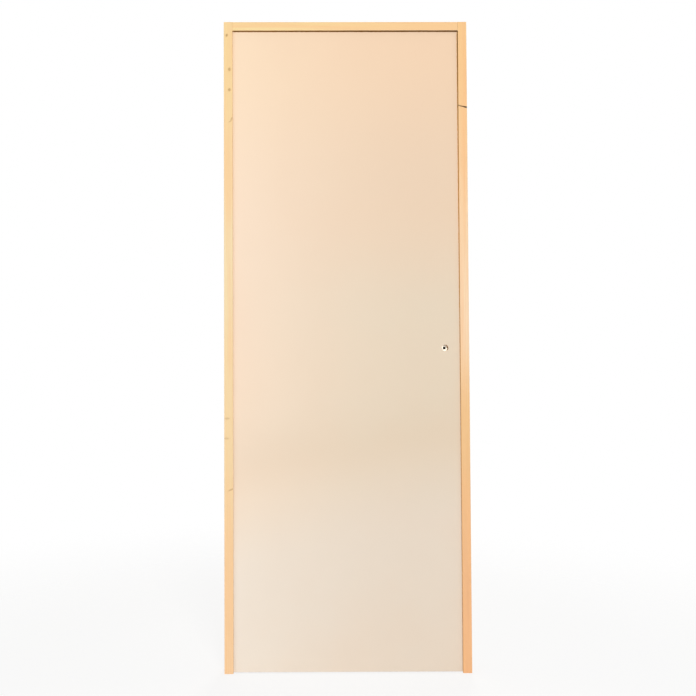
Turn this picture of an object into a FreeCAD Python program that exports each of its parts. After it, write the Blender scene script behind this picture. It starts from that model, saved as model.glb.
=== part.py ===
import FreeCAD, Part
import math
import os

os.makedirs("parts", exist_ok=True)

# Leaf: two thin facings over a softwood border and a paper honeycomb
LEAF_WIDTH = 730.0
LEAF_HEIGHT = 2040.0
LEAF_THICKNESS = 40.0
FACING_THICKNESS = 3.0
STILE_WIDTH = 34.0
RAIL_WIDTH = 34.0
LOCK_BLOCK_WIDTH = 90.0
LOCK_BLOCK_HEIGHT = 320.0
CELL_PITCH = 88.0
CELL_WALL = 0.6

# Frame: a rebated softwood section, its thin stop in front of the leaf
JAMB_FACE = 28.0
STOP_WIDTH = 8.0
STOP_THICKNESS = 6.0
ARRIS = 1.0

# Clearances round the leaf
STOP_GAP = 1.0
HINGE_GAP = 3.0
LOCK_GAP = 5.0
HEAD_GAP = 5.0
FLOOR_GAP = 3.0

# Lift-off hinges behind the leaf
HINGE_LENGTH = 100.0
HINGE_INSET = 180.0
PLATE_THICKNESS = 2.5
PLATE_WIDTH = 28.0
PLATE_CORNER = 5.0
PIN_OFFSET = 7.0
PIN_RADIUS = 3.0
PIN_CLEARANCE = 0.1
KNUCKLE_RADIUS = 5.0
WASHER_THICKNESS = 2.0
WASHER_RADIUS = 5.5
KNUCKLE_CAP = 4.0

# Latch let into the lock edge, with a hole for the spindle on both faces
BACKSET = 50.0
SPINDLE_HEIGHT = 1022.0
SPINDLE_HOLE_RADIUS = 10.0
SQUARE = 7.4
FOREND_WIDTH = 18.0
FOREND_LENGTH = 160.0
FOREND_THICKNESS = 3.0
CASE_THICKNESS = 14.0
CASE_DEPTH = 72.0
CASE_ABOVE = 34.0
CASE_BELOW = 48.0
CASE_WALL = 1.5
HUB_RADIUS = 7.0
HUB_CLEARANCE = 0.1
HUB_SHY = 0.5
CAM_LENGTH = 18.0
CAM_WIDTH = 6.0
BOLT_WIDTH = 10.0
BOLT_HEIGHT = 20.0
BOLT_LENGTH = 26.0
BOLT_CLEARANCE = 0.25
BOLT_BEVEL = 6.0

# Strike plate let into the jamb opposite the bolt, with a tongue that curls round the jamb's rear corner
STRIKE_LENGTH = 110.0
STRIKE_WIDTH = 24.0
STRIKE_THICKNESS = 2.0
STRIKE_TONGUE = 36.0
STRIKE_LIP_RADIUS = 2.0
POCKET_MARGIN = 3.0
POCKET_DEPTH = 14.0

# Slanting shake across the face of the lock jamb
SHAKE_BELOW_TOP = 271.0
SHAKE_DROP = 5.5
SHAKE_OPEN = 2.2
SHAKE_CLOSED = 0.5
SHAKE_DEPTH = 12.0
SHAKE_SHY = 1.5

# Planes derived from the sizes above: X across, Y through the wall, Z up
BACKING = JAMB_FACE - STOP_WIDTH
FRAME_DEPTH = STOP_THICKNESS + STOP_GAP + LEAF_THICKNESS
FRAME_WIDTH = LEAF_WIDTH + HINGE_GAP + LOCK_GAP + 2 * BACKING
FRAME_HEIGHT = FLOOR_GAP + LEAF_HEIGHT + HEAD_GAP + BACKING
FRONT = -FRAME_DEPTH / 2
BACK = FRAME_DEPTH / 2
STOP_BACK = FRONT + STOP_THICKNESS
LEAF_FRONT = BACK - LEAF_THICKNESS
LEAF_LEFT = BACKING + HINGE_GAP
LEAF_RIGHT = LEAF_LEFT + LEAF_WIDTH
LEAF_TOP = FLOOR_GAP + LEAF_HEIGHT
CORE_FRONT = LEAF_FRONT + FACING_THICKNESS
CORE_BACK = BACK - FACING_THICKNESS
CORE_LEFT = LEAF_LEFT + STILE_WIDTH
CORE_RIGHT = LEAF_RIGHT - STILE_WIDTH
CORE_BOTTOM = FLOOR_GAP + RAIL_WIDTH
CORE_TOP = LEAF_TOP - RAIL_WIDTH
LOCK_FACE = FRAME_WIDTH - BACKING
PIN_X = BACKING + HINGE_GAP / 2
PIN_Y = BACK + PIN_OFFSET
SPINDLE_X = LEAF_RIGHT - BACKSET
MID_LEAF = (LEAF_FRONT + BACK) / 2
BLOCK_LEFT = CORE_RIGHT - LOCK_BLOCK_WIDTH
BLOCK_BOTTOM = SPINDLE_HEIGHT - LOCK_BLOCK_HEIGHT / 2
BLOCK_TOP = SPINDLE_HEIGHT + LOCK_BLOCK_HEIGHT / 2
FOREND_BACK = LEAF_RIGHT - FOREND_THICKNESS
CASE_LEFT = LEAF_RIGHT - CASE_DEPTH


def box(x0, x1, y0, y1, z0, z1):
    return Part.makeBox(x1 - x0, y1 - y0, z1 - z0, FreeCAD.Vector(x0, y0, z0))


def upright(x, y, radius, z0, z1):
    return Part.makeCylinder(radius, z1 - z0, FreeCAD.Vector(x, y, z0))


def across(x, z, radius, y0, y1):
    return Part.makeCylinder(radius, y1 - y0, FreeCAD.Vector(x, y0, z), FreeCAD.Vector(0, 1, 0))


def eased(shape, radius, along, places):
    """Round the edges that run along one axis (0 for X, 2 for Z) at places on the other two axes."""
    axes = [k for k in range(3) if k != along]
    edges = []
    for edge in shape.Edges:
        ends = [vertex.Point for vertex in edge.Vertexes]
        for place in places:
            if max(abs(end[k] - value) for end in ends for k, value in zip(axes, place)) < 0.01:
                edges.append(edge)
    return shape.makeFillet(radius, edges)


def tablet(x0, x1, y0, y1, z0, z1, rounded_y):
    """A flat plate on a YZ plane, its corners rounded at the given y values."""
    corners = [(y, z) for y in rounded_y for z in (z0, z1)]
    return eased(box(x0, x1, y0, y1, z0, z1), PLATE_CORNER, 0, corners)


def save(shape, name):
    shape.exportStep("parts/" + name + ".step")


# Hinges: a frame leaf with the lower knuckle, a pin, a washer and a door leaf with the upper knuckle
PLATE_EDGE = BACK - PLATE_WIDTH
KNUCKLE = (HINGE_LENGTH - WASHER_THICKNESS) / 2
HINGE_CENTRES = {
    "top": LEAF_TOP - HINGE_INSET - HINGE_LENGTH / 2,
    "middle": FLOOR_GAP + LEAF_HEIGHT / 2,
    "bottom": FLOOR_GAP + HINGE_INSET + HINGE_LENGTH / 2,
}


def hinge_plate(x0, base):
    """The flat part of one hinge leaf, let in flush from the back of the door."""
    top = base + HINGE_LENGTH
    return tablet(x0, x0 + PLATE_THICKNESS, PLATE_EDGE, BACK, base, top, [PLATE_EDGE])


frame_mortises = []
leaf_mortises = []
for place, centre in HINGE_CENTRES.items():
    base = centre - HINGE_LENGTH / 2
    top = base + HINGE_LENGTH
    washer_base = base + KNUCKLE
    washer_top = washer_base + WASHER_THICKNESS
    frame_x = BACKING - PLATE_THICKNESS
    frame_plate = hinge_plate(frame_x, base)
    door_plate = hinge_plate(LEAF_LEFT, base)
    frame_mortises.append(frame_plate)
    leaf_mortises.append(door_plate)
    frame_tongue = box(frame_x, BACKING, BACK, PIN_Y, base, washer_base)
    frame_knuckle = upright(PIN_X, PIN_Y, KNUCKLE_RADIUS, base, washer_base)
    frame_bore = upright(PIN_X, PIN_Y, PIN_RADIUS, base + KNUCKLE_CAP, washer_base)
    frame_leaf = frame_plate.fuse(frame_tongue).fuse(frame_knuckle).cut(frame_bore).removeSplitter()
    save(frame_leaf, "hinge_" + place + "_frame_leaf")
    door_tongue = box(LEAF_LEFT, LEAF_LEFT + PLATE_THICKNESS, BACK, PIN_Y, washer_top, top)
    door_knuckle = upright(PIN_X, PIN_Y, KNUCKLE_RADIUS, washer_top, top)
    door_bore = upright(PIN_X, PIN_Y, PIN_RADIUS + PIN_CLEARANCE, washer_top, top - KNUCKLE_CAP)
    door_leaf = door_plate.fuse(door_tongue).fuse(door_knuckle).cut(door_bore).removeSplitter()
    save(door_leaf, "hinge_" + place + "_door_leaf")
    pin_top = top - 2 * KNUCKLE_CAP
    save(upright(PIN_X, PIN_Y, PIN_RADIUS, base + KNUCKLE_CAP, pin_top), "hinge_" + place + "_pin")
    washer = upright(PIN_X, PIN_Y, WASHER_RADIUS, washer_base, washer_top)
    washer = washer.cut(upright(PIN_X, PIN_Y, PIN_RADIUS, washer_base, washer_top))
    save(washer, "hinge_" + place + "_washer")

# Frame: two full-height jambs and a head between them, all of one rebated section
hinge_jamb = box(0, JAMB_FACE, FRONT, STOP_BACK, 0, FRAME_HEIGHT)
hinge_jamb = hinge_jamb.fuse(box(0, BACKING, STOP_BACK, BACK, 0, FRAME_HEIGHT)).removeSplitter()
jamb_arrises = [(0, FRONT), (JAMB_FACE, FRONT), (JAMB_FACE, STOP_BACK), (0, BACK)]
hinge_jamb = eased(hinge_jamb, ARRIS, 2, jamb_arrises)
strike_jamb = hinge_jamb.mirror(FreeCAD.Vector(FRAME_WIDTH / 2, 0, 0), FreeCAD.Vector(1, 0, 0))
for mortise in frame_mortises:
    hinge_jamb = hinge_jamb.cut(mortise)
save(hinge_jamb, "hinge_jamb")

strike_low = SPINDLE_HEIGHT - STRIKE_LENGTH / 2
strike_high = SPINDLE_HEIGHT + STRIKE_LENGTH / 2
strike_front = MID_LEAF - STRIKE_WIDTH / 2
strike_rear = MID_LEAF + STRIKE_WIDTH / 2
strike_x = LOCK_FACE + STRIKE_THICKNESS
strike_blank = tablet(
    LOCK_FACE, strike_x, strike_front, strike_rear, strike_low, strike_high, [strike_front, strike_rear],
)
tongue_low = SPINDLE_HEIGHT - STRIKE_TONGUE / 2
tongue_high = SPINDLE_HEIGHT + STRIKE_TONGUE / 2
strike_blank = strike_blank.fuse(box(LOCK_FACE, strike_x, MID_LEAF, BACK, tongue_low, tongue_high))
lip_x = strike_x + STRIKE_LIP_RADIUS
lip_reach = STRIKE_LIP_RADIUS + STRIKE_THICKNESS
strike_lip = upright(lip_x, BACK, lip_reach, tongue_low, tongue_high)
strike_lip = strike_lip.cut(upright(lip_x, BACK, STRIKE_LIP_RADIUS, tongue_low, tongue_high))
strike_lip = strike_lip.common(box(LOCK_FACE, lip_x, BACK, BACK + lip_reach, tongue_low, tongue_high))
strike_blank = strike_blank.fuse(strike_lip).removeSplitter()
pocket_y = BOLT_WIDTH / 2 + POCKET_MARGIN
pocket_z = BOLT_HEIGHT / 2 + POCKET_MARGIN
pocket = box(
    LOCK_FACE, LOCK_FACE + POCKET_DEPTH, MID_LEAF - pocket_y, MID_LEAF + pocket_y,
    SPINDLE_HEIGHT - pocket_z, SPINDLE_HEIGHT + pocket_z,
)
save(strike_blank.cut(pocket), "strike_plate")

shake_z = FRAME_HEIGHT - SHAKE_BELOW_TOP
shake_x = FRAME_WIDTH - JAMB_FACE + SHAKE_SHY
shake = Part.Face(Part.makePolygon([
    FreeCAD.Vector(shake_x, FRONT, shake_z),
    FreeCAD.Vector(FRAME_WIDTH, FRONT, shake_z - SHAKE_DROP - SHAKE_OPEN),
    FreeCAD.Vector(FRAME_WIDTH, FRONT, shake_z - SHAKE_DROP),
    FreeCAD.Vector(shake_x, FRONT, shake_z + SHAKE_CLOSED),
    FreeCAD.Vector(shake_x, FRONT, shake_z),
])).extrude(FreeCAD.Vector(0, SHAKE_DEPTH, 0))
save(strike_jamb.cut(strike_blank).cut(pocket).cut(shake), "strike_jamb")

head_low = FRAME_HEIGHT - JAMB_FACE
head_stop = box(JAMB_FACE, FRAME_WIDTH - JAMB_FACE, FRONT, STOP_BACK, head_low, FRAME_HEIGHT)
head_body = box(BACKING, LOCK_FACE, STOP_BACK, BACK, FRAME_HEIGHT - BACKING, FRAME_HEIGHT)
head_arrises = [(FRONT, head_low), (STOP_BACK, head_low), (FRONT, FRAME_HEIGHT), (BACK, FRAME_HEIGHT)]
save(eased(head_stop.fuse(head_body).removeSplitter(), ARRIS, 0, head_arrises), "head_jamb")

# Latch: forend, case, bolt drawn back level with the forend, and the follower the spindle turns
case_low = SPINDLE_HEIGHT - CASE_BELOW
case_high = SPINDLE_HEIGHT + CASE_ABOVE
case_front = MID_LEAF - CASE_THICKNESS / 2
case_back = MID_LEAF + CASE_THICKNESS / 2
case_block = box(CASE_LEFT, FOREND_BACK, case_front, case_back, case_low, case_high)
case_room = box(
    CASE_LEFT + CASE_WALL, FOREND_BACK, case_front + CASE_WALL, case_back - CASE_WALL,
    case_low + CASE_WALL, case_high - CASE_WALL,
)
hub_hole = across(SPINDLE_X, SPINDLE_HEIGHT, HUB_RADIUS + HUB_CLEARANCE, case_front, case_back)
save(case_block.cut(case_room).cut(hub_hole), "latch_case")

forend_front = MID_LEAF - FOREND_WIDTH / 2
forend_back = MID_LEAF + FOREND_WIDTH / 2
forend_low = SPINDLE_HEIGHT - FOREND_LENGTH / 2
forend_high = SPINDLE_HEIGHT + FOREND_LENGTH / 2
forend_blank = tablet(
    FOREND_BACK, LEAF_RIGHT, forend_front, forend_back, forend_low, forend_high, [forend_front, forend_back],
)
bolt_y = BOLT_WIDTH / 2
bolt_z = BOLT_HEIGHT / 2
window = box(
    FOREND_BACK, LEAF_RIGHT, MID_LEAF - bolt_y - BOLT_CLEARANCE, MID_LEAF + bolt_y + BOLT_CLEARANCE,
    SPINDLE_HEIGHT - bolt_z, SPINDLE_HEIGHT + bolt_z,
)
save(forend_blank.cut(window), "latch_forend")

bolt = box(
    LEAF_RIGHT - BOLT_LENGTH, LEAF_RIGHT, MID_LEAF - bolt_y, MID_LEAF + bolt_y,
    SPINDLE_HEIGHT - bolt_z, SPINDLE_HEIGHT + bolt_z,
)
bevel = Part.Face(Part.makePolygon([
    FreeCAD.Vector(LEAF_RIGHT, MID_LEAF + bolt_y, SPINDLE_HEIGHT - bolt_z),
    FreeCAD.Vector(LEAF_RIGHT - BOLT_BEVEL, MID_LEAF + bolt_y, SPINDLE_HEIGHT - bolt_z),
    FreeCAD.Vector(LEAF_RIGHT, MID_LEAF + bolt_y - BOLT_BEVEL, SPINDLE_HEIGHT - bolt_z),
    FreeCAD.Vector(LEAF_RIGHT, MID_LEAF + bolt_y, SPINDLE_HEIGHT - bolt_z),
])).extrude(FreeCAD.Vector(0, 0, BOLT_HEIGHT))
save(bolt.cut(bevel), "latch_bolt")

hub_front = case_front + HUB_SHY
hub_back = case_back - HUB_SHY
hub = across(SPINDLE_X, SPINDLE_HEIGHT, HUB_RADIUS, hub_front, hub_back)
cam = box(
    SPINDLE_X - CAM_WIDTH / 2, SPINDLE_X + CAM_WIDTH / 2, MID_LEAF - CAM_WIDTH / 2, MID_LEAF + CAM_WIDTH / 2,
    SPINDLE_HEIGHT - CAM_LENGTH, SPINDLE_HEIGHT + CAM_LENGTH,
)
socket = box(
    SPINDLE_X - SQUARE / 2, SPINDLE_X + SQUARE / 2, hub_front, hub_back,
    SPINDLE_HEIGHT - SQUARE / 2, SPINDLE_HEIGHT + SQUARE / 2,
)
save(hub.fuse(cam).cut(socket).removeSplitter(), "latch_follower")

# Leaf border: stiles run full height, rails and lock block fit between
spindle_hole = across(SPINDLE_X, SPINDLE_HEIGHT, SPINDLE_HOLE_RADIUS, LEAF_FRONT, BACK)
hinge_stile = box(LEAF_LEFT, CORE_LEFT, CORE_FRONT, CORE_BACK, FLOOR_GAP, LEAF_TOP)
back_facing = box(LEAF_LEFT, LEAF_RIGHT, CORE_BACK, BACK, FLOOR_GAP, LEAF_TOP).cut(spindle_hole)
for mortise in leaf_mortises:
    hinge_stile = hinge_stile.cut(mortise)
    back_facing = back_facing.cut(mortise)
save(hinge_stile, "hinge_stile")
save(back_facing, "back_facing")
lock_stile = box(CORE_RIGHT, LEAF_RIGHT, CORE_FRONT, CORE_BACK, FLOOR_GAP, LEAF_TOP)
save(lock_stile.cut(case_block).cut(forend_blank), "lock_stile")
save(box(CORE_LEFT, CORE_RIGHT, CORE_FRONT, CORE_BACK, FLOOR_GAP, CORE_BOTTOM), "bottom_rail")
save(box(CORE_LEFT, CORE_RIGHT, CORE_FRONT, CORE_BACK, CORE_TOP, LEAF_TOP), "top_rail")
lock_block = box(BLOCK_LEFT, CORE_RIGHT, CORE_FRONT, CORE_BACK, BLOCK_BOTTOM, BLOCK_TOP)
save(lock_block.cut(case_block).cut(spindle_hole), "lock_block")
front_facing = box(LEAF_LEFT, LEAF_RIGHT, LEAF_FRONT, CORE_FRONT, FLOOR_GAP, LEAF_TOP)
save(front_facing.cut(spindle_hole), "front_facing")


def clipped(points, axis, limit, keep_above):
    """The part of a closed outline on one side of a limit, in X (axis 0) or Z (axis 1)."""
    sign = 1.0 if keep_above else -1.0
    result = []
    for here, after in zip(points, points[1:] + points[:1]):
        a = sign * (here[axis] - limit)
        b = sign * (after[axis] - limit)
        if a >= 0:
            result.append(here)
        if a * b < 0:
            t = a / (a - b)
            result.append((here[0] + t * (after[0] - here[0]), here[1] + t * (after[1] - here[1])))
    return result


def outline(points):
    corners = [FreeCAD.Vector(x, CORE_FRONT, z) for x, z in points]
    return Part.makePolygon(corners + corners[:1])


def honeycomb(x0, x1, z0, z1):
    """One panel of six-sided paper cells, cut square at its borders."""
    row_step = CELL_PITCH * math.sqrt(3) / 2
    reach = (CELL_PITCH - CELL_WALL) / math.sqrt(3)
    wires = [outline([(x0, z0), (x1, z0), (x1, z1), (x0, z1)])]
    for row in range(int((z1 - z0) / row_step) + 2):
        for column in range(int((x1 - x0) / CELL_PITCH) + 2):
            x = x0 + (column + 0.5 * (row % 2)) * CELL_PITCH
            z = z0 + row * row_step
            turns = [math.radians(30 + 60 * k) for k in range(6)]
            cell = [(x + reach * math.cos(t), z + reach * math.sin(t)) for t in turns]
            for axis, low, high in ((0, x0, x1), (1, z0, z1)):
                cell = clipped(cell, axis, low + CELL_WALL, True)
                cell = clipped(cell, axis, high - CELL_WALL, False)
            widths = [max(p[k] for p in cell) - min(p[k] for p in cell) if cell else 0 for k in (0, 1)]
            if min(widths) > 10 * CELL_WALL:
                wires.append(outline(cell))
    panel = Part.makeFace(wires, "Part::FaceMakerBullseye")
    return panel.extrude(FreeCAD.Vector(0, CORE_BACK - CORE_FRONT, 0))


# Core: paper honeycomb above, beside and below the lock block
save(honeycomb(CORE_LEFT, CORE_RIGHT, BLOCK_TOP, CORE_TOP), "core_upper")
save(honeycomb(CORE_LEFT, BLOCK_LEFT, BLOCK_BOTTOM, BLOCK_TOP), "core_middle")
save(honeycomb(CORE_LEFT, CORE_RIGHT, CORE_BOTTOM, BLOCK_BOTTOM), "core_lower")
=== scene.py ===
import math

import bmesh
import bpy
import numpy as np
from mathutils import Matrix, Vector


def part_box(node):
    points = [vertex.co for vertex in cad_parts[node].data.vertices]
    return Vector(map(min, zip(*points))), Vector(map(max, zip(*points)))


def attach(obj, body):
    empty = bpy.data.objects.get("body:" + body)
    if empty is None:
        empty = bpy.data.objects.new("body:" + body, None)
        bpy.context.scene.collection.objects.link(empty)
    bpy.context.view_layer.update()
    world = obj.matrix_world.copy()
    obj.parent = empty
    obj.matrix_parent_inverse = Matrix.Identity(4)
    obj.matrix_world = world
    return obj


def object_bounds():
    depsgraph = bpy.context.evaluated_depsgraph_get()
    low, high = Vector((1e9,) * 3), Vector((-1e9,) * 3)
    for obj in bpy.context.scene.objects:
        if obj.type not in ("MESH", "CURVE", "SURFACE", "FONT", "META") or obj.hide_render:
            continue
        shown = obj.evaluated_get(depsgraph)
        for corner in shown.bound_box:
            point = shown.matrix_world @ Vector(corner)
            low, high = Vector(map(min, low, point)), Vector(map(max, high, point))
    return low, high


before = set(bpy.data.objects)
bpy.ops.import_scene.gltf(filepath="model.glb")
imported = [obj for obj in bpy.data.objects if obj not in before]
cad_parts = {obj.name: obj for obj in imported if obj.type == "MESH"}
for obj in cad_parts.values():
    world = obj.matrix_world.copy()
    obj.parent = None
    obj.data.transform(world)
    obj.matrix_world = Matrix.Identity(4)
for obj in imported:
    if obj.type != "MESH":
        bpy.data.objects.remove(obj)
cad_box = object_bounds()

# Hinge jamb, lock jamb and head: three lengths of one section of unfinished pine, planed outside with
# eased arrises. The rebate is painted browner as shade, and the stop's edge darker still as a painted
# shadow line round the leaf. The jambs stand full height, with the head screwed between.
STOP_THICKNESS = 0.006
FRAME_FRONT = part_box("hinge_jamb")[0].y
STOP_BACK = FRAME_FRONT + STOP_THICKNESS
RING_PITCH = 0.0026
RING_WANDER = 0.016
WANDERS_PER_METRE = 17.0
LATE_WOOD_POWER = 2.6
LATE_WOOD_SHARE = 0.38
LATE_WOOD_RELIEF = 0.5
BLUSHES_PER_METRE = 42.0
BLUSH_SHARE = 0.55
FIBRES_PER_METRE = 900.0
FIBRE_SHARE = 0.4
GRAIN_STRETCH = 0.05
FIBRE_STRETCH = 0.012
KNOT_PUSH = 0.006
KNOT_HALO_SHARE = 0.45
STOP_EDGE_ROUND = 0.0004
SHAKE_DEPTH = 0.011
SHAKE_SOFT = 0.003


def paint(red, green, blue):
    """A colour as the eye reads it on a screen, 0 to 255, turned into the light that it stands for."""
    parts = np.array((red, green, blue)) / 255
    light = np.where(parts <= 0.04045, parts / 12.92, ((parts + 0.055) / 1.055) ** 2.4)
    return (*light.tolist(), 1.0)


def blank(name, **sockets):
    """An empty material: its node tree and its main shader, with plain values set on the shader."""
    material = bpy.data.materials.new(name)
    material.use_nodes = True
    shader = material.node_tree.nodes["Principled BSDF"]
    for socket, value in sockets.items():
        shader.inputs[socket.replace("_", " ")].default_value = value
    return material, material.node_tree, shader


def add(tree, kind, inputs, **settings):
    """One shader node: an input that is a socket is linked, and anything else is set as a value."""
    made = tree.nodes.new("ShaderNode" + kind)
    for key, value in settings.items():
        setattr(made, key, value)
    for key, value in inputs.items():
        if isinstance(value, bpy.types.NodeSocket):
            tree.links.new(value, made.inputs[key])
        else:
            made.inputs[key].default_value = value
    return made.outputs


def sum_up(tree, operation, first, second=0.0, third=0.0):
    """One step of arithmetic on numbers."""
    return add(tree, "Math", {0: first, 1: second, 2: third}, operation=operation)[0]


def span(tree, *parts):
    """The root of the sum of the squares of the parts."""
    total = 0.0
    for part in parts:
        total = sum_up(tree, "MULTIPLY_ADD", part, part, total)
    return sum_up(tree, "SQRT", total)


def blend(tree, share, base, over):
    """The colour over laid on the base colour by that share."""
    return add(tree, "Mix", {0: share, 6: base, 7: over}, data_type="RGBA")[2]


def fade(tree, value, start, end, low=0.0, high=1.0):
    """A soft step from low to high as value goes from start to end, up or down."""
    inputs = {0: value, 1: start, 2: end, 3: low, 4: high}
    return add(tree, "MapRange", inputs, interpolation_type="SMOOTHSTEP")[0]


def under(tree, value, limit, soft):
    """1 where value is under the limit and 0 where it is over, with a step that is soft to either side."""
    return fade(tree, value, limit + soft, limit - soft)


def axes(tree):
    """The place on the piece, in metres along the frame's X, Y and Z."""
    place = add(tree, "TexCoord", {})["Object"]
    return [*add(tree, "SeparateXYZ", {0: place})]


def speckle(tree, vector, scale, detail=2.0):
    """Soft noise from 0 to 1, with about that many blots to the metre."""
    return add(tree, "TexNoise", {"Vector": vector, "Scale": scale, "Detail": detail})["Fac"]


def streaks(tree, place, stretch, scale, detail):
    """Noise drawn out along the grain: its blots are 1 / stretch times as long as they are wide."""
    width, depth, length = place
    drawn = sum_up(tree, "MULTIPLY", length, stretch)
    return speckle(tree, add(tree, "CombineXYZ", {0: width, 1: depth, 2: drawn})[0], scale, detail)


def from_knot(tree, place, across, along, wide, tall, deep, lean):
    """The distance from a knot's middle as a share of its size: the root of (a/wide)^2 + (b/tall)^2 +
    (c/deep)^2, where a and b run across and along the grain, turned by lean, and c goes inwards."""
    width, depth, length = place
    aside = sum_up(tree, "SUBTRACT", width, across)
    above = sum_up(tree, "SUBTRACT", length, along)
    turned_a = sum_up(tree, "MULTIPLY", aside, math.cos(lean))
    turned_a = sum_up(tree, "MULTIPLY_ADD", above, math.sin(lean), turned_a)
    turned_b = sum_up(tree, "MULTIPLY", above, math.cos(lean))
    turned_b = sum_up(tree, "MULTIPLY_ADD", aside, -math.sin(lean), turned_b)
    inward = sum_up(tree, "SUBTRACT", depth, FRAME_FRONT)
    part_a = sum_up(tree, "DIVIDE", turned_a, wide)
    part_b = sum_up(tree, "DIVIDE", turned_b, tall)
    part_c = sum_up(tree, "DIVIDE", inward, deep)
    return span(tree, part_a, part_b, part_c)


def toned(tree, colour, layers):
    """Tones laid one over the other: each comes in along a length or height, from its start to its end."""
    for along, start, end, tone in layers:
        colour = blend(tree, fade(tree, along, start, end), colour, tone)
    return colour


def rebate_shading(tree, colour, place, fibres, facing, stop_shadow):
    """Painted shade in the rebate: faces turned to within about 50 degrees of facing are painted browner.
    The edge of the stop is painted darker still as a shadow line, more so along the length between the two
    given places, if any."""
    _, depth, length = place
    normal = add(tree, "NewGeometry", {})["True Normal"]
    turned = add(tree, "VectorMath", {0: normal, 1: facing}, operation="DOT_PRODUCT")["Value"]
    shaded_rebate = fade(tree, turned, 0.45, 0.75)
    colour = blend(tree, shaded_rebate, colour, blend(tree, fibres, REBATE_SHADE_DARK, REBATE_SHADE_PALE))
    if stop_shadow:
        on_stop = under(tree, depth, STOP_BACK + STOP_EDGE_ROUND, STOP_EDGE_ROUND / 2)
        share = sum_up(tree, "MULTIPLY", shaded_rebate, on_stop)
        share = sum_up(tree, "MULTIPLY", share, fade(tree, length, *stop_shadow))
        colour = blend(tree, share, colour, blend(tree, fibres, STOP_EDGE_SHADOW_DARK, STOP_EDGE_SHADOW_PALE))
    return colour


def shaken(tree, colour, x, y, z, near, far, half):
    """A crack on the front, along the straight line from near to far, painted dark brown: partly stained
    wood and partly painted shade inside the crack. It reaches half to either side of the line and grows
    darker towards far."""
    run = far[0] - near[0]
    slope = (far[1] - near[1]) / run
    line = sum_up(tree, "MULTIPLY_ADD", x, slope, near[1] - slope * near[0])
    aside = sum_up(tree, "ABSOLUTE", sum_up(tree, "SUBTRACT", z, line))
    strong = fade(tree, x, near[0] + 0.35 * run, far[0], 0.55, 1.0)
    in_front = under(tree, y, FRAME_FRONT + SHAKE_DEPTH, SHAKE_SOFT)
    share = sum_up(tree, "MULTIPLY", under(tree, aside, half, 0.3 * half), strong)
    return blend(tree, sum_up(tree, "MULTIPLY", share, in_front), colour, SHAKE_STAIN_AND_SHADE)


def pine(name, along, heart, tones, dark, flush, knots=(), shaded_rebate=None, stop_shadow=None, shake=None):
    """Pine: its rings are the saw-tooth of the distance from a heart line beside the piece, made to wander
    along the grain and pushed aside by knots, under fine fibre streaks. tones follow its length. The
    rebate faces the way that the next argument gives and is painted browner as shade; the stop's edge is
    painted darker as a shadow line between the two lengths that the argument after it gives; and shake is
    a crack, painted dark partly as stained wood and partly as shade inside it."""
    material, tree, shader = blank(name, Roughness=0.62, Specular_IOR_Level=0.2)
    x, y, z = axes(tree)
    length, width = (z, x) if along == "Z" else (x, z)
    place = (width, y, length)
    fibres = streaks(tree, place, FIBRE_STRETCH, FIBRES_PER_METRE, 3.0)
    wander = streaks(tree, place, GRAIN_STRETCH, WANDERS_PER_METRE, 3.0)
    blush = streaks(tree, place, GRAIN_STRETCH, BLUSHES_PER_METRE, 1.0)
    across = sum_up(tree, "SUBTRACT", width, heart[0])
    through = sum_up(tree, "SUBTRACT", y, heart[1])
    reach = sum_up(tree, "MULTIPLY_ADD", wander, RING_WANDER, span(tree, across, through))
    spots = [(from_knot(tree, place, *size), strength) for *size, strength in knots]
    for ratio, _ in spots:
        reach = sum_up(tree, "ADD", reach, fade(tree, ratio, 3.0, 0.6, 0.0, KNOT_PUSH))
    ring = sum_up(tree, "FRACT", sum_up(tree, "DIVIDE", reach, RING_PITCH))
    late = sum_up(tree, "POWER", ring, LATE_WOOD_POWER)
    layers = [(length, before[0], after[0], after[1]) for before, after in zip(tones, tones[1:])]
    colour = toned(tree, tones[0][1], layers)
    colour = blend(tree, fade(tree, blush, 0.42, 0.66, 0.0, BLUSH_SHARE), colour, flush)
    colour = blend(tree, sum_up(tree, "MULTIPLY", late, LATE_WOOD_SHARE), colour, dark)
    colour = blend(tree, fade(tree, fibres, 0.52, 0.8, 0.0, FIBRE_SHARE), colour, dark)
    for ratio, strength in spots:
        halo = fade(tree, ratio, 2.4, 0.9, 0.0, KNOT_HALO_SHARE * strength)
        colour = blend(tree, halo, colour, KNOT_HALO)
        colour = blend(tree, fade(tree, ratio, 1.25, 0.7, 0.0, strength), colour, KNOT_HEART)
    if shaded_rebate:
        colour = rebate_shading(tree, colour, place, fibres, shaded_rebate, stop_shadow)
    if shake:
        colour = shaken(tree, colour, x, y, z, *shake)
    tree.links.new(colour, shader.inputs["Base Color"])
    relief = sum_up(tree, "MULTIPLY_ADD", late, LATE_WOOD_RELIEF, fibres)
    bump = add(tree, "Bump", {"Height": relief, "Strength": 0.25, "Distance": 0.0004})[0]
    tree.links.new(bump, shader.inputs["Normal"])
    return material


def dress(material, *names):
    """Gives CAD pieces their finish."""
    for name in names:
        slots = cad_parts[name].data.materials
        slots.clear()
        slots.append(material)


KNOT_HALO = paint(218, 168, 104)
KNOT_HEART = paint(140, 100, 50)
# Painted shade: the rebate's browner tone, and the near-black shadow line painted on the stop's edge round
# the leaf
REBATE_SHADE_DARK = paint(206, 152, 94)
REBATE_SHADE_PALE = paint(240, 196, 138)
STOP_EDGE_SHADOW_DARK = paint(46, 25, 6)
STOP_EDGE_SHADOW_PALE = paint(88, 54, 20)
# Dark brown of the crack: partly stained wood, partly painted shade inside it
SHAKE_STAIN_AND_SHADE = paint(72, 38, 6)
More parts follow.
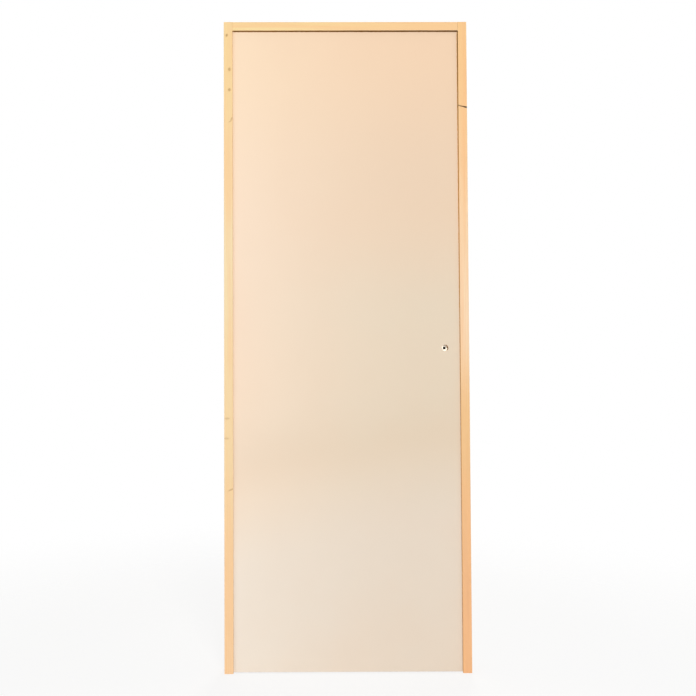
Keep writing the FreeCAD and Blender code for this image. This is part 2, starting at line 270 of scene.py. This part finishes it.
# Each tone: the height, or on the head the distance across, where it is full
HINGE_JAMB_TONES = (
    (0.2, paint(253, 214, 172)),
    (0.7, paint(250, 222, 176)),
    (1.3, paint(250, 229, 187)),
    (2.0, paint(252, 222, 166)),
)
LOCK_JAMB_TONES = (
    (0.2, paint(242, 188, 142)),
    (0.8, paint(244, 201, 148)),
    (1.1, paint(253, 224, 190)),
    (2.0, paint(252, 208, 150)),
)
HEAD_TONES = (
    (0.05, paint(254, 228, 170)),
    (0.7, paint(252, 210, 158)),
)
# Each knot: its place across and up, half its width, height and depth, its lean in radians, its strength
HINGE_JAMB_KNOTS = (
    (0.0094, 2.0252, 0.0030, 0.0044, 0.012, -0.3, 0.50),
    (0.0178, 1.9150, 0.0040, 0.0052, 0.030, 0.0, 0.40),
    (0.0178, 1.8490, 0.0040, 0.0046, 0.030, 0.0, 0.42),
    (0.0246, 1.7555, 0.0022, 0.0060, 0.010, -0.4, 0.32),
    (0.0205, 1.7475, 0.0055, 0.0020, 0.010, 0.5, 0.20),
    (0.0090, 0.8000, 0.0080, 0.0030, 0.008, 0.0, 0.20),
    (0.0060, 0.7370, 0.0090, 0.0028, 0.008, 0.0, 0.19),
    (0.0210, 0.5755, 0.0085, 0.0024, 0.010, 0.45, 0.30),
)
# The crack's near and far end, across and up, and half its width
LOCK_JAMB_SHAKE = ((0.7495, 1.7982), (0.7780, 1.7914), 0.0023)
pine_left = pine(
    "pine_hinge_jamb", "Z", heart=(-0.040, 0.060), tones=HINGE_JAMB_TONES, dark=paint(238, 190, 122),
    flush=paint(254, 208, 158), knots=HINGE_JAMB_KNOTS, shaded_rebate=(1, 0, 0),
)
# The lock jamb's and the head's stops carry the painted shadow line: darker high up the jamb, and towards
# the lock side along the head
pine_right = pine(
    "pine_lock_jamb", "Z", heart=(0.830, 0.055), tones=LOCK_JAMB_TONES, dark=paint(236, 176, 112),
    flush=paint(252, 196, 144), shaded_rebate=(-1, 0, 0), stop_shadow=(1.5, 2.1), shake=LOCK_JAMB_SHAKE,
)
pine_head = pine(
    "pine_head", "X", heart=(2.125, 0.050), tones=HEAD_TONES, dark=paint(238, 184, 118),
    flush=paint(253, 204, 152), shaded_rebate=(0, 0, -1), stop_shadow=(-0.6, 0.8),
)
dress(pine_left, "hinge_jamb")
dress(pine_right, "strike_jamb")
dress(pine_head, "head_jamb")

# Facings: smooth hardboard sheets glued to both sides of the leaf, with a factory coat of cream primer.
# Light
# and shade are painted into its tones: warmer and lighter on the hinge side and near the top, darker on
# the lock side, a little paler and greyer low down. A brown rim round its top and sides is painted shade
# along the gap under the stop.
HINGE_TONE_X = 0.05
LOCK_TONE_X = 0.65
HINGE_TONE_POWER = 1.6
TONE_TILT = 0.14
TONE_WANDER = 0.10
BAND_FOOT = 0.46
BAND_MIDDLE = 0.60
BAND_TOP = 0.78
BAND_SHARE = 0.20
MOTTLE_SHARE = 0.10
MOTTLES_PER_METRE = 4.0
STIPPLES_PER_METRE = 620.0
GRITS_PER_METRE = 900.0
# Width of the brown rim round the face's top and sides, which on the front is painted shade along the gap
# under the stop; how far it narrows down the lock side, and how it wanders
FRONT_RIM = 0.0048
BACK_RIM = 0.001
RIM_SKEW = 0.42
RIM_WANDER = 0.0024
RIM_WANDERS_PER_METRE = 130.0
COAT_DEPTH = 0.00075
COAT_SOFT = 0.00035
leaf_low, leaf_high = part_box("front_facing")
back_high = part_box("back_facing")[1]


def primer(tree, place, x, z):
    """The coat's colour, with light and shade painted into it: warmer and lighter on the hinge side and
    near the top, darker on the lock side, greyer low down. The line between its tones tilts from side to
    side and wanders, a faint darker stripe of painted shade lies along it, and large soft blots lie over
    all."""
    mottle = speckle(tree, place, MOTTLES_PER_METRE, 3.0)
    rise = sum_up(tree, "MULTIPLY_ADD", mottle, -TONE_WANDER, z)
    rise = sum_up(tree, "MULTIPLY_ADD", x, -TONE_TILT, rise)
    hinge_side = toned(tree, paint(245, 234, 221), (
        (rise, 0.20, 0.58, paint(249, 229, 207)),
        (rise, 0.60, 0.90, paint(251, 228, 205)),
        (z, 1.30, 2.05, paint(254, 228, 198)),
    ))
    lock_side = toned(tree, paint(233, 219, 203), (
        (rise, 0.30, 0.62, paint(230, 214, 192)),
        (rise, 0.60, 0.90, paint(231, 215, 193)),
        (z, 1.10, 1.50, paint(236, 211, 185)),
        (z, 1.50, 2.05, paint(245, 214, 183)),
    ))
    near_hinge = add(tree, "MapRange", {0: x, 1: HINGE_TONE_X, 2: LOCK_TONE_X, 3: 1.0, 4: 0.0})[0]
    near_hinge = sum_up(tree, "POWER", near_hinge, HINGE_TONE_POWER)
    coat = blend(tree, near_hinge, lock_side, hinge_side)
    above_foot = fade(tree, rise, BAND_FOOT, BAND_MIDDLE)
    below_top = fade(tree, rise, BAND_TOP, BAND_MIDDLE)
    band = sum_up(tree, "MULTIPLY", sum_up(tree, "MULTIPLY", above_foot, below_top), BAND_SHARE)
    coat = blend(tree, band, coat, paint(226, 203, 178))
    return blend(tree, fade(tree, mottle, 0.35, 0.75, 0.0, MOTTLE_SHARE), coat, paint(238, 206, 178))


def primed_board(name, face_y, outward, rim):
    """Cream primer on the sheet's outer face, with fine roller stipple; bare brown fibre on the sheet's
    edges. On its face, where the distance from its top or sides, made uneven, is under the rim, brown is
    painted as shade along the gap under the stop, darker along the top. The rim narrows down the lock
    side, where that painted shade is fainter."""
    material, tree, shader = blank(name, Roughness=0.55, Specular_IOR_Level=0.25)
    x, y, z = axes(tree)
    place = add(tree, "CombineXYZ", {0: x, 1: y, 2: z})[0]
    ragged = speckle(tree, place, RIM_WANDERS_PER_METRE, 3.0)
    uneven = sum_up(tree, "MULTIPLY_ADD", ragged, RIM_WANDER, -RIM_WANDER / 2)
    from_lock = sum_up(tree, "SUBTRACT", leaf_high.x, x)
    from_lock = sum_up(tree, "ADD", from_lock, fade(tree, z, 1.7, 0.5, 0.0, RIM_SKEW * rim))
    from_hinge = sum_up(tree, "SUBTRACT", x, leaf_low.x)
    from_side = sum_up(tree, "ADD", sum_up(tree, "MINIMUM", from_lock, from_hinge), uneven)
    from_top = sum_up(tree, "ADD", sum_up(tree, "SUBTRACT", leaf_high.z, z), uneven)
    inward = sum_up(tree, "MULTIPLY", sum_up(tree, "SUBTRACT", y, face_y), -outward)
    grit = speckle(tree, place, GRITS_PER_METRE, 3.0)
    # Painted shade along the gap under the stop: ochre down the sides, darker brown along the top
    side_gap_shade = blend(tree, grit, paint(184, 128, 46), paint(228, 172, 84))
    top_gap_shade = blend(tree, grit, paint(124, 78, 18), paint(170, 116, 42))
    edge_fibre = blend(tree, grit, paint(128, 92, 60), paint(172, 130, 90))
    face = primer(tree, place, x, z)
    face = blend(tree, under(tree, from_side, rim, 0.1 * rim), face, side_gap_shade)
    face = blend(tree, under(tree, from_top, rim, 0.1 * rim), face, top_gap_shade)
    colour = blend(tree, under(tree, inward, COAT_DEPTH, COAT_SOFT), edge_fibre, face)
    tree.links.new(colour, shader.inputs["Base Color"])
    stipple = speckle(tree, place, STIPPLES_PER_METRE)
    bump = add(tree, "Bump", {"Height": stipple, "Strength": 0.12, "Distance": 0.0003})[0]
    tree.links.new(bump, shader.inputs["Normal"])
    return material


dress(primed_board("cream_front", leaf_low.y, -1.0, FRONT_RIM), "front_facing")
dress(primed_board("cream_back", back_high.y, 1.0, BACK_RIM), "back_facing")

# Leaf border and lock block: sawn softwood strips between the facings, glued to them. Only their
# outer edges show, round the rim of the open leaf.
STRIP_TONES = ((0.0, paint(226, 190, 136)), (2.0, paint(234, 198, 146)))
STRIP_DARK = paint(206, 150, 92)
STRIP_FLUSH = paint(226, 174, 118)
sawn_upright = pine("sawn_stile", "Z", (0.300, 0.140), STRIP_TONES, STRIP_DARK, STRIP_FLUSH)
sawn_level = pine("sawn_rail", "X", (0.900, 0.120), STRIP_TONES, STRIP_DARK, STRIP_FLUSH)
dress(sawn_upright, "hinge_stile", "lock_stile", "lock_block")
dress(sawn_level, "top_rail", "bottom_rail")

# Honeycomb core: brown kraft paper drawn out into open cells and glued between the facings. It is
# closed in all round by the border.
KRAFT_BLOTS_PER_METRE = 260.0
kraft, kraft_tree, kraft_shader = blank("kraft_paper", Roughness=0.85)
kraft_place = add(kraft_tree, "TexCoord", {})["Object"]
kraft_blots = speckle(kraft_tree, kraft_place, KRAFT_BLOTS_PER_METRE, 4.0)
kraft_colour = blend(kraft_tree, kraft_blots, paint(150, 112, 72), paint(188, 148, 100))
kraft_tree.links.new(kraft_colour, kraft_shader.inputs["Base Color"])
dress(kraft, "core_upper", "core_middle", "core_lower")

# Hinges: pressed steel lift-off hinges, zinc plated, with a plain pin and a brass washer between
# the knuckles. Each leaf is let in flush and held by four raised countersunk screws.
STOP_WIDTH = 0.008
BRUSHINGS_PER_METRE = 1500.0
BRUSHING_ROUGHNESS = 0.18
CLOUDS_PER_METRE = 90.0
CLOUD_ROUGHNESS = 0.1
CLOUD_DULLING = 0.72
MERGE_REACH = 0.00001
SCREW_RADIUS = 0.0040
SCREW_RISE = 0.0010
SCREW_SEAT = 0.0001
SCREW_SKIRT = 0.0006
SCREW_TURNS = 64
OUTER_START = 0.68
OUTER_RINGS = 6
CROSS_HALF_WIDTH = 0.00045
CROSS_REACH = 0.0022
CROSS_DEPTH = 0.0012
CROSS_FLANK = 0.0002
CROSS_RUNOUT = 0.0003
CROSS_MARGIN = 1.15
CROSS_RINGS = 14
# Each screw: its height as a share of the hinge's, and how far it stands in from the plate's front edge
HINGE_SCREWS = ((0.12, 0.007), (0.37, 0.018), (0.63, 0.007), (0.88, 0.018))


def plated_steel(name, tint, roughness, brush):
    """Zinc-plated steel: a soft metal shine with fine lines drawn along Z and cloudy patches."""
    material, tree, shader = blank(name, Metallic=1.0)
    x, y, z = axes(tree)
    drawn = streaks(tree, (x, y, z), brush, BRUSHINGS_PER_METRE, 2.0)
    clouds = speckle(tree, add(tree, "CombineXYZ", {0: x, 1: y, 2: z})[0], CLOUDS_PER_METRE, 4.0)
    dull = tuple(CLOUD_DULLING * part for part in tint[:3]) + (1.0,)
    colour = blend(tree, fade(tree, clouds, 0.3, 0.75, 0.0, 0.8), tint, dull)
    tree.links.new(colour, shader.inputs["Base Color"])
    shine = sum_up(tree, "MULTIPLY_ADD", drawn, BRUSHING_ROUGHNESS, roughness)
    shine = sum_up(tree, "MULTIPLY_ADD", clouds, CLOUD_ROUGHNESS, shine)
    tree.links.new(shine, shader.inputs["Roughness"])
    bump = add(tree, "Bump", {"Height": drawn, "Strength": 0.15, "Distance": 0.0001})[0]
    tree.links.new(bump, shader.inputs["Normal"])
    return material


def sheet_of(name, points):
    """A mesh through a grid of points, whose columns close on themselves; rows that shrink to one
    point are merged into a pole. points has any number of such grids stacked in front."""
    grids = points.reshape(-1, *points.shape[-3:])
    count, rows, columns, _ = grids.shape
    here = np.arange(count * rows * columns).reshape(count, rows, columns)
    beside = np.roll(here, -1, axis=2)
    faces = np.stack([here[:, :-1], beside[:, :-1], beside[:, 1:], here[:, 1:]], axis=-1).reshape(-1, 4)
    mesh = bpy.data.meshes.new(name)
    mesh.from_pydata(grids.reshape(-1, 3).tolist(), [], faces.tolist())
    work = bmesh.new()
    work.from_mesh(mesh)
    bmesh.ops.remove_doubles(work, verts=work.verts, dist=MERGE_REACH)
    bmesh.ops.recalc_face_normals(work, faces=work.faces)
    work.to_mesh(mesh)
    work.free()
    mesh.shade_smooth()
    piece = bpy.data.objects.new(name, mesh)
    bpy.context.scene.collection.objects.link(piece)
    return piece


def screws(name, centres, facing, material, body):
    """Countersunk heads at these centres on faces that look along facing (+1 or -1 in X). In polar rings
    r, t the head stands rise (1 - (r/R)^2) proud, less a cross cut where the distance from either arm's
    middle line is under its half width."""
    cross_rings = np.linspace(0, CROSS_REACH * CROSS_MARGIN, CROSS_RINGS)
    outer_rings = np.linspace(OUTER_START, 1.0, OUTER_RINGS) * SCREW_RADIUS
    turns = np.linspace(0, 2 * np.pi, SCREW_TURNS, endpoint=False)
    radius, turn = np.meshgrid(np.concatenate([cross_rings, outer_rings]), turns, indexing="ij")
    side = radius * np.cos(turn)
    up = radius * np.sin(turn)
    dome = SCREW_RISE * (1 - (radius / SCREW_RADIUS) ** 2) + SCREW_SEAT
    arm = np.minimum(np.abs(side), np.abs(up))
    across = np.clip((CROSS_HALF_WIDTH - arm) / CROSS_FLANK, 0, 1)
    along = np.clip((CROSS_REACH - radius) / CROSS_RUNOUT, 0, 1)
    proud = dome - CROSS_DEPTH * (across * along)
    head = np.stack([facing * proud, side, up], axis=-1)
    skirt = head[-1:].copy()
    skirt[..., 0] = -facing * SCREW_SKIRT
    head = np.concatenate([head, skirt])
    piece = sheet_of(name, np.asarray(centres)[:, None, None, :] + head)
    piece.data.materials.append(material)
    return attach(piece, body)


zinc = plated_steel("zinc_hinges", paint(196, 196, 192), roughness=0.30, brush=0.03)
brass = plated_steel("brass_washers", paint(214, 176, 98), roughness=0.28, brush=1.0)
rebate_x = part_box("hinge_jamb")[1].x - STOP_WIDTH
frame_screws = []
leaf_screws = []
for place in ("top", "middle", "bottom"):
    dress(zinc, f"hinge_{place}_frame_leaf", f"hinge_{place}_door_leaf", f"hinge_{place}_pin")
    dress(brass, f"hinge_{place}_washer")
    low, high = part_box(f"hinge_{place}_frame_leaf")
    for share, inset in HINGE_SCREWS:
        height = low.z + share * (high.z - low.z)
        frame_screws.append((rebate_x, low.y + inset, height))
        leaf_screws.append((leaf_low.x, low.y + inset, height))
screws("frame_hinge_screws", frame_screws, 1, zinc, "frame")
screws("leaf_hinge_screws", leaf_screws, -1, zinc, "leaf")

# Latch: a zinc-plated forend and case let into the lock edge, with the bolt drawn back. Two screws hold
# the forend, and the side of the case shows in the spindle hole.
FOREND_SCREW_INSET = 0.014
CASE_TINT = paint(236, 230, 216)
latch_zinc = plated_steel("zinc_latch", paint(200, 197, 190), roughness=0.34, brush=0.05)
dress(latch_zinc, "latch_forend", "latch_bolt")
dress(plated_steel("zinc_case", CASE_TINT, roughness=0.34, brush=0.05), "latch_case")
forend_low, forend_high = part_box("latch_forend")
forend_mid = (forend_low + forend_high) / 2
forend_screws = [
    (forend_high.x, forend_mid.y, forend_low.z + FOREND_SCREW_INSET),
    (forend_high.x, forend_mid.y, forend_high.z - FOREND_SCREW_INSET),
]
screws("forend_screws", forend_screws, 1, latch_zinc, "leaf")

# Follower: the hub of the latch, turned by a square spindle. Its socket is painted near black inside as
# shade, and a thin near-black sheet across it half way stands for the shade deep in the hole, so no light
# shows through it.
SOCKET_HALF_WIDTH = 0.00435
SOCKET_ROUND = 0.00015
FILM_HALF_WIDTH = 0.0037
FILM_HALF_THICKNESS = 0.0001
follower_low, follower_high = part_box("latch_follower")
follower_mid = (follower_low + follower_high) / 2
hub = plated_steel("zinc_follower", CASE_TINT, roughness=0.34, brush=0.05)
hub_tree = hub.node_tree
hub_colour = hub_tree.nodes["Principled BSDF"].inputs["Base Color"]
hub_x, _, hub_z = axes(hub_tree)
aside = sum_up(hub_tree, "ABSOLUTE", sum_up(hub_tree, "SUBTRACT", hub_x, follower_mid.x))
above = sum_up(hub_tree, "ABSOLUTE", sum_up(hub_tree, "SUBTRACT", hub_z, follower_mid.z))
from_axis = sum_up(hub_tree, "MAXIMUM", aside, above)
# Painted shade: the socket's inner walls are painted near black
socket_shade = under(hub_tree, from_axis, SOCKET_HALF_WIDTH, SOCKET_ROUND)
bright = hub_colour.links[0].from_socket
hub_tree.links.new(blend(hub_tree, socket_shade, bright, paint(10, 8, 6)), hub_colour)
dress(hub, "latch_follower")
# A square slab: its profile, from the middle of one face over the rim to the other, carried to each corner
film_corner = np.array([(-1, -1), (1, -1), (1, 1), (-1, 1)]) * FILM_HALF_WIDTH
film_profile = np.array([(0, -1), (1, -1), (1, 1), (0, 1)])
film_out, film_deep = np.split(film_profile, 2, axis=1)
film_points = np.stack(
    [
        follower_mid.x + film_out * film_corner[:, 0],
        follower_mid.y + film_deep * FILM_HALF_THICKNESS + 0 * film_corner[:, 0],
        follower_mid.z + film_out * film_corner[:, 1],
    ],
    axis=-1,
)
shade_film = sheet_of("follower_shade_film", film_points)
# The near-black sheet across the socket: painted shade for the dark depth of the hole
shade_film_paint, film_tree, film_shader = blank("painted_shade_film", Roughness=0.7, Specular_IOR_Level=0.0)
film_grit = speckle(film_tree, add(film_tree, "TexCoord", {})["Object"], GRITS_PER_METRE)
film_colour = blend(film_tree, film_grit, paint(14, 12, 10), paint(30, 26, 22))
film_tree.links.new(film_colour, film_shader.inputs["Base Color"])
shade_film.data.materials.append(shade_film_paint)
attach(shade_film, "follower")

# Strike plate: a zinc-plated plate let into the lock jamb, with a window for the bolt and a lip that curls
# round the jamb's rear corner. Two screws hold it.
STRIKE_SCREW_INSET = 0.016
dress(latch_zinc, "strike_plate")
strike_low, strike_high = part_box("strike_plate")
strike_screws = [
    (strike_low.x, forend_mid.y, strike_low.z + STRIKE_SCREW_INSET),
    (strike_low.x, forend_mid.y, strike_high.z - STRIKE_SCREW_INSET),
]
screws("strike_screws", strike_screws, -1, latch_zinc, "frame")

# Floor: a plain pale sheet that takes the door's shadow and fades into the white round it.
# It lies just under the jambs' feet.
FLOOR_HALF = 4.0
FLOOR_DROP = 0.0005
FLOOR_SOLID = 0.9
FLOOR_GONE = 2.6
FLOOR_WHITE = 0.8
FLOOR_TINT = (0.94, 0.94, 0.94, 1.0)
PLAIN_WHITE = (1.0, 1.0, 1.0, 1.0)
middle = (cad_box[0] + cad_box[1]) / 2
floor_corners = [
    (middle.x - FLOOR_HALF, -FLOOR_HALF, -FLOOR_DROP),
    (middle.x + FLOOR_HALF, -FLOOR_HALF, -FLOOR_DROP),
    (middle.x + FLOOR_HALF, FLOOR_HALF, -FLOOR_DROP),
    (middle.x - FLOOR_HALF, FLOOR_HALF, -FLOOR_DROP),
]
floor_mesh = bpy.data.meshes.new("floor")
floor_mesh.from_pydata(floor_corners, [], [(0, 1, 2, 3)])
floor = bpy.data.objects.new("floor", floor_mesh)
bpy.context.scene.collection.objects.link(floor)


def looked_at(tree):
    """1 for the rays that show or mirror the surroundings, and 0 for those that light the door."""
    ray = add(tree, "LightPath", {})
    seen = sum_up(tree, "MAXIMUM", ray["Is Camera Ray"], ray["Is Glossy Ray"])
    return sum_up(tree, "MAXIMUM", seen, ray["Is Transmission Ray"])


floor_paint, floor_tree, floor_shader = blank("pale_floor", Roughness=0.9, Specular_IOR_Level=0.1)
floor_shader.inputs["Base Color"].default_value = FLOOR_TINT
floor_x, floor_y, _ = axes(floor_tree)
from_door = span(floor_tree, sum_up(floor_tree, "SUBTRACT", floor_x, middle.x), floor_y)
gone = fade(floor_tree, from_door, FLOOR_SOLID, FLOOR_GONE)
clear = add(floor_tree, "BsdfTransparent", {})[0]
glow = add(floor_tree, "Emission", {"Color": PLAIN_WHITE, "Strength": 1.0})[0]
glow_share = sum_up(floor_tree, "MULTIPLY", looked_at(floor_tree), FLOOR_WHITE)
pale = add(floor_tree, "MixShader", {0: glow_share, 1: floor_shader.outputs[0], 2: glow})[0]
mixed = add(floor_tree, "MixShader", {0: gone, 1: pale, 2: clear})[0]
floor_tree.links.new(mixed, floor_tree.nodes["Material Output"].inputs["Surface"])
floor.data.materials.append(floor_paint)

# Light: a large soft lamp high in front on the lock side, a weaker one at mid height on the hinge side,
# a third behind, and an even pale surround that shows as white.
SURROUND_STRENGTH = 0.46
LAMP_AIM = Vector((middle.x, 0, 1.05))
world = bpy.data.worlds.new("surround")
bpy.context.scene.world = world
world.use_nodes = True
sky = world.node_tree
white = add(sky, "Background", {"Color": PLAIN_WHITE, "Strength": 1.0})[0]
soft = add(sky, "Background", {"Color": (1.0, 0.99, 0.97, 1.0), "Strength": SURROUND_STRENGTH})[0]
chosen = add(sky, "MixShader", {0: looked_at(sky), 1: soft, 2: white})[0]
sky.links.new(chosen, sky.nodes["World Output"].inputs["Surface"])


def lamp(name, place, size, power, tint):
    """A square soft lamp at that place, turned to the middle of the door."""
    light = bpy.data.lights.new(name, "AREA")
    light.size = size
    light.energy = power
    light.color = tint
    holder = bpy.data.objects.new(name, light)
    aim = (LAMP_AIM - Vector(place)).to_track_quat("-Z", "Y")
    holder.matrix_world = Matrix.Translation(place) @ aim.to_matrix().to_4x4()
    bpy.context.scene.collection.objects.link(holder)


lamp("key", place=(1.1, -4.8, 2.5), size=1.2, power=110.0, tint=(1.0, 0.99, 0.97))
lamp("fill", place=(-2.2, -2.6, 1.3), size=1.8, power=12.0, tint=(1.0, 0.98, 0.95))
lamp("back", place=(1.6, 4.4, 2.6), size=1.8, power=90.0, tint=(1.0, 0.99, 0.98))

# Camera: about level with the spindle hole and nearer the hinge side, tipped up slightly; its shift
# sets the door in the middle of the picture.
CAMERA_PLACE = (0.120, -2.5235, 0.9572)
CAMERA_TIP = 1.502
CAMERA_TURN = -0.232
CAMERA_ROLL = -0.148
CAMERA_LENS = 40.80
CAMERA_SHIFT = 0.1190
eye = bpy.data.cameras.new("camera")
eye.sensor_fit = "HORIZONTAL"
eye.sensor_width = 36.0
eye.lens = CAMERA_LENS
eye.shift_x = CAMERA_SHIFT
camera = bpy.data.objects.new("camera", eye)
turn = Matrix.Rotation(math.radians(CAMERA_TURN), 4, "Z")
tip = Matrix.Rotation(math.radians(90 + CAMERA_TIP), 4, "X")
roll = Matrix.Rotation(math.radians(CAMERA_ROLL), 4, "Z")
camera.matrix_world = Matrix.Translation(CAMERA_PLACE) @ turn @ tip @ roll
bpy.context.scene.collection.objects.link(camera)
bpy.context.scene.camera = camera
bpy.context.scene.view_settings.view_transform = "Standard"
